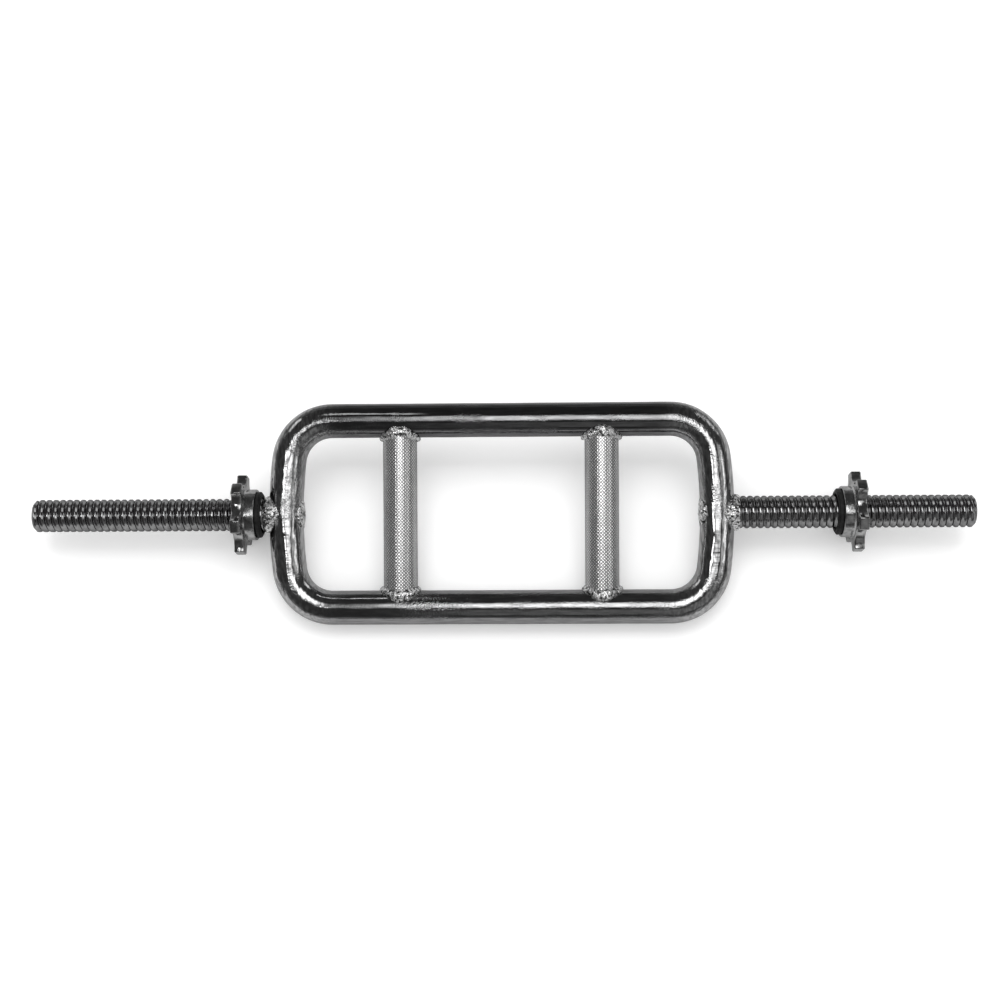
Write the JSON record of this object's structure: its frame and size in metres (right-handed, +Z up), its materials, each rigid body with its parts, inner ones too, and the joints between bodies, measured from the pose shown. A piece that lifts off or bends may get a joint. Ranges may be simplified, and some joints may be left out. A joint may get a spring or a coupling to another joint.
{
  "type": "triceps bar",
  "caption": "Chromed triceps bar: rounded tube frame with knurled cross grips, threaded plate sleeves and screw-on star collars with rubber clamping rings.",
  "frame": {"origin": "on the floor, under the middle of the bar's axis", "axes": "+X along the bar; +Y across the frame, towards the long tube that is raised at rest; +Z up"},
  "size_m": [0.864, 0.2, 0.0696],
  "materials": {
    "chrome": "bright plated steel tube, slightly rippled at the bends",
    "knurled_grip": "fine diamond knurl under satin plating",
    "threaded_sleeve": "plated rolled thread, darker in its grooves",
    "weld_bead": "uneven plated weld bead",
    "cast_star": "plated casting, slightly grainy",
    "rubber": "matt black moulded rubber"
  },
  "bodies": {
    "bar": {"frame_left_half": "chrome", "frame_right_half": "chrome", "frame_butt_weld_far": "chrome", "frame_butt_weld_near": "chrome", "left_grip": "knurled_grip", "right_grip": "knurled_grip", "left_grip_weld_far": "weld_bead", "left_grip_weld_near": "weld_bead", "right_grip_weld_far": "weld_bead", "right_grip_weld_near": "weld_bead", "left_sleeve": "threaded_sleeve", "right_sleeve": "threaded_sleeve", "left_sleeve_weld": "weld_bead", "right_sleeve_weld": "weld_bead", "left_plug_weld": "weld_bead", "right_plug_weld": "weld_bead"},
    "left_ring": {"left_rubber_ring": "rubber"},
    "left_star": {"left_star_nut": "cast_star"},
    "right_ring": {"right_rubber_ring": "rubber"},
    "right_star": {"right_star_nut": "cast_star"}
  },
  "joints": [
    {"name": "left_collar_travel", "type": "slide", "parent": "bar", "child": "left_ring", "axis": [1, 0, 0], "range_m": [-0.1842, 0]},
    {"name": "left_collar_spin", "type": "hinge", "parent": "left_ring", "child": "left_star", "pos_m": [-0.235, 0, 0.0348], "axis": [1, 0, 0], "range_deg": [-10440, 0]},
    {"name": "right_collar_travel", "type": "slide", "parent": "bar", "child": "right_ring", "axis": [1, 0, 0], "range_m": [-0.0858, 0.0985]},
    {"name": "right_collar_spin", "type": "hinge", "parent": "right_ring", "child": "right_star", "pos_m": [0.321, 0, 0.0348], "axis": [1, 0, 0], "range_deg": [-4860, 5580]}
  ],
  "couplings": [
    {"joint": "left_collar_travel", "follows": "left_collar_spin", "m_per_rad": 0.0010106},
    {"joint": "right_collar_travel", "follows": "right_collar_spin", "m_per_rad": 0.0010106}
  ]
}
